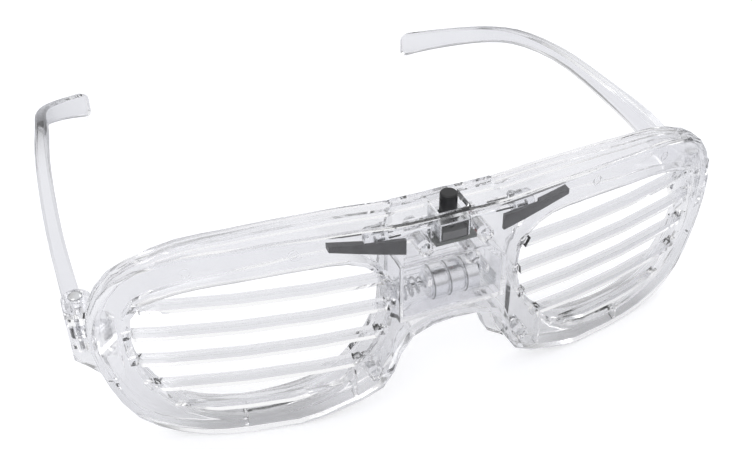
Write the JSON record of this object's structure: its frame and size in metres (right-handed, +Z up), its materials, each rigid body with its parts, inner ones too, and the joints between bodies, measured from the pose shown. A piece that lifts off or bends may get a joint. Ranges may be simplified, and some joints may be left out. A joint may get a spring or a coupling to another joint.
{
  "type": "light up party glasses",
  "caption": "Clear slatted novelty glasses with a hollow front, folding temples, a push button, lights and a cell box in the bridge.",
  "frame": {"origin": "on the table under the middle of the object's bounding box, with the temples open", "axes": "+X towards the right as seen from the front, -Y out of the front face, +Y along the open temples, +Z up"},
  "size_m": [0.1534, 0.158, 0.051],
  "materials": {
    "clear_plastic": "clear moulded plastic with smooth glossy faces",
    "clear_lens": "water clear epoxy lens",
    "grey_plastic": "satin dark grey plastic",
    "black_plastic": "satin black plastic",
    "plated_sheet": "bright plated sheet",
    "steel": "zinc plated steel",
    "board": "dark lacquered fibre board",
    "red_wire": "soft red insulation",
    "black_wire": "soft black insulation"
  },
  "bodies": {
    "frame": {"front_shell": "clear_plastic", "rear_cover": "clear_plastic", "slat_left_1": "clear_plastic", "slat_left_2": "clear_plastic", "slat_left_3": "clear_plastic", "slat_left_4": "clear_plastic", "slat_left_5": "clear_plastic", "hinge_pin_left": "steel", "led_left": "clear_lens", "light_shield_left": "grey_plastic", "slat_right_1": "clear_plastic", "slat_right_2": "clear_plastic", "slat_right_3": "clear_plastic", "slat_right_4": "clear_plastic", "slat_right_5": "clear_plastic", "hinge_pin_right": "steel", "led_right": "clear_lens", "light_shield_right": "grey_plastic", "switch_body": "grey_plastic", "switch_bracket": "plated_sheet", "circuit_board": "board", "controller_chip": "black_plastic", "battery_box": "clear_plastic", "button_cell_1": "plated_sheet", "button_cell_2": "plated_sheet", "button_cell_3": "plated_sheet", "contact_spring": "steel", "contact_plate": "plated_sheet", "battery_door": "clear_plastic", "door_screw": "steel", "case_screw_1": "steel", "case_screw_2": "steel", "case_screw_3": "steel", "case_screw_4": "steel", "lead_positive": "red_wire", "lead_negative": "black_wire"},
    "temple_left": {"temple_left": "clear_plastic"},
    "temple_right": {"temple_right": "clear_plastic"},
    "power_button": {"power_button": "black_plastic"}
  },
  "joints": [
    {"name": "temple_left_fold", "type": "hinge", "parent": "frame", "child": "temple_left", "pos_m": [-0.0737, -0.05447, 0.02638], "axis": [0, 0, -1], "range_deg": [0, 84]},
    {"name": "temple_right_fold", "type": "hinge", "parent": "frame", "child": "temple_right", "pos_m": [0.0737, -0.05447, 0.02638], "axis": [0, 0, 1], "range_deg": [0, 76]},
    {"name": "button_press", "type": "slide", "parent": "frame", "child": "power_button", "axis": [0, 0, -1], "range_m": [0, 0.0008], "stiffness_N_per_m": 300}
  ]
}
